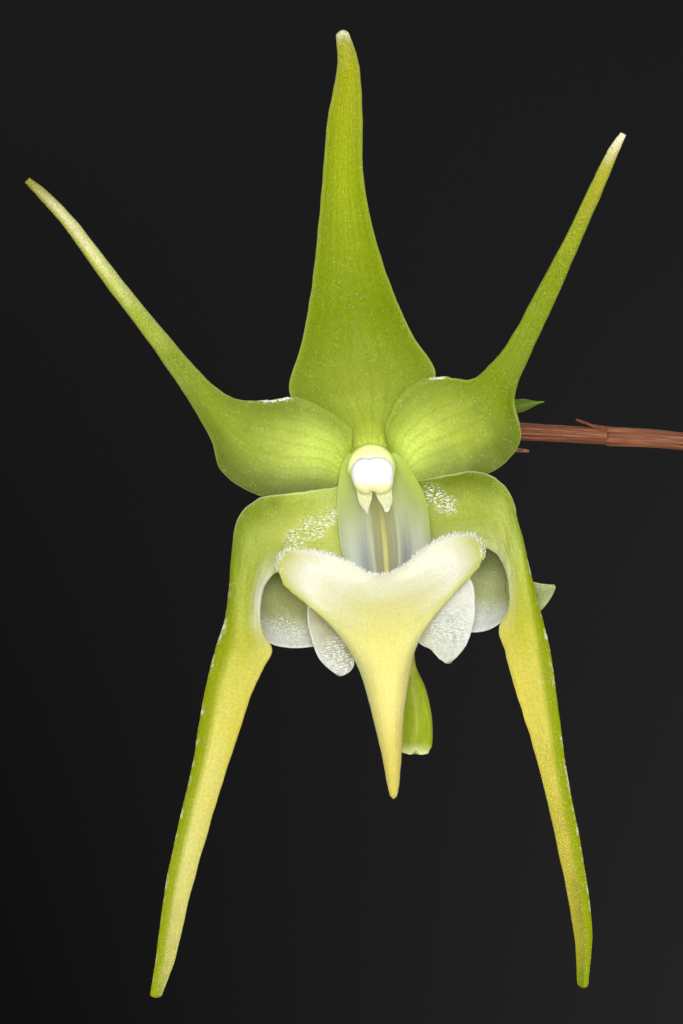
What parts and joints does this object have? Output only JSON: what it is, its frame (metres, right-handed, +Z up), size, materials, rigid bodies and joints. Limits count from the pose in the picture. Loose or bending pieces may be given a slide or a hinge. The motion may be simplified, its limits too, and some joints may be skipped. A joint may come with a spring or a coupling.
{
  "type": "potted aeranthes grandiflora",
  "caption": "Potted comet orchid: a fan of strap leaves and a wiry arching stem with a large pale green spurred flower, in a plain clay pot.",
  "frame": {"origin": "centre of the underside of the pot, on the surface it stands on", "axes": "+Z up; the flower faces -Y, towards the viewer of the picture, and hangs to the -X side of the pot"},
  "size_m": [0.271, 0.3333, 0.2326],
  "materials": {
    "clay": "matt unglazed fired clay",
    "bark": "rough chipped bark",
    "stem": "fibrous leaf bases over silvery roots",
    "leaf": "leathery, satin",
    "flower_stem": "dry, fibrous",
    "tepal": "fleshy, finely glistening",
    "lip": "fleshy, finely downy",
    "column": "translucent, striped",
    "anther_cap": "waxy",
    "green_tissue": "smooth, waxy"
  },
  "bodies": {
    "root": {"pot": "clay", "bark": "bark", "stem": "stem", "leaf_1": "leaf", "leaf_2": "leaf", "leaf_3": "leaf", "leaf_4": "leaf", "leaf_5": "leaf", "leaf_6": "leaf", "flower_stem": "flower_stem", "dorsal_sepal": "tepal", "petal_left": "tepal", "petal_right": "tepal", "lateral_sepal_left": "tepal", "lateral_sepal_right": "tepal", "lip": "lip", "column": "column", "anther_cap": "anther_cap", "spur": "green_tissue", "ovary": "green_tissue", "bud": "green_tissue", "floral_bract": "flower_stem"}
  },
  "joints": []
}
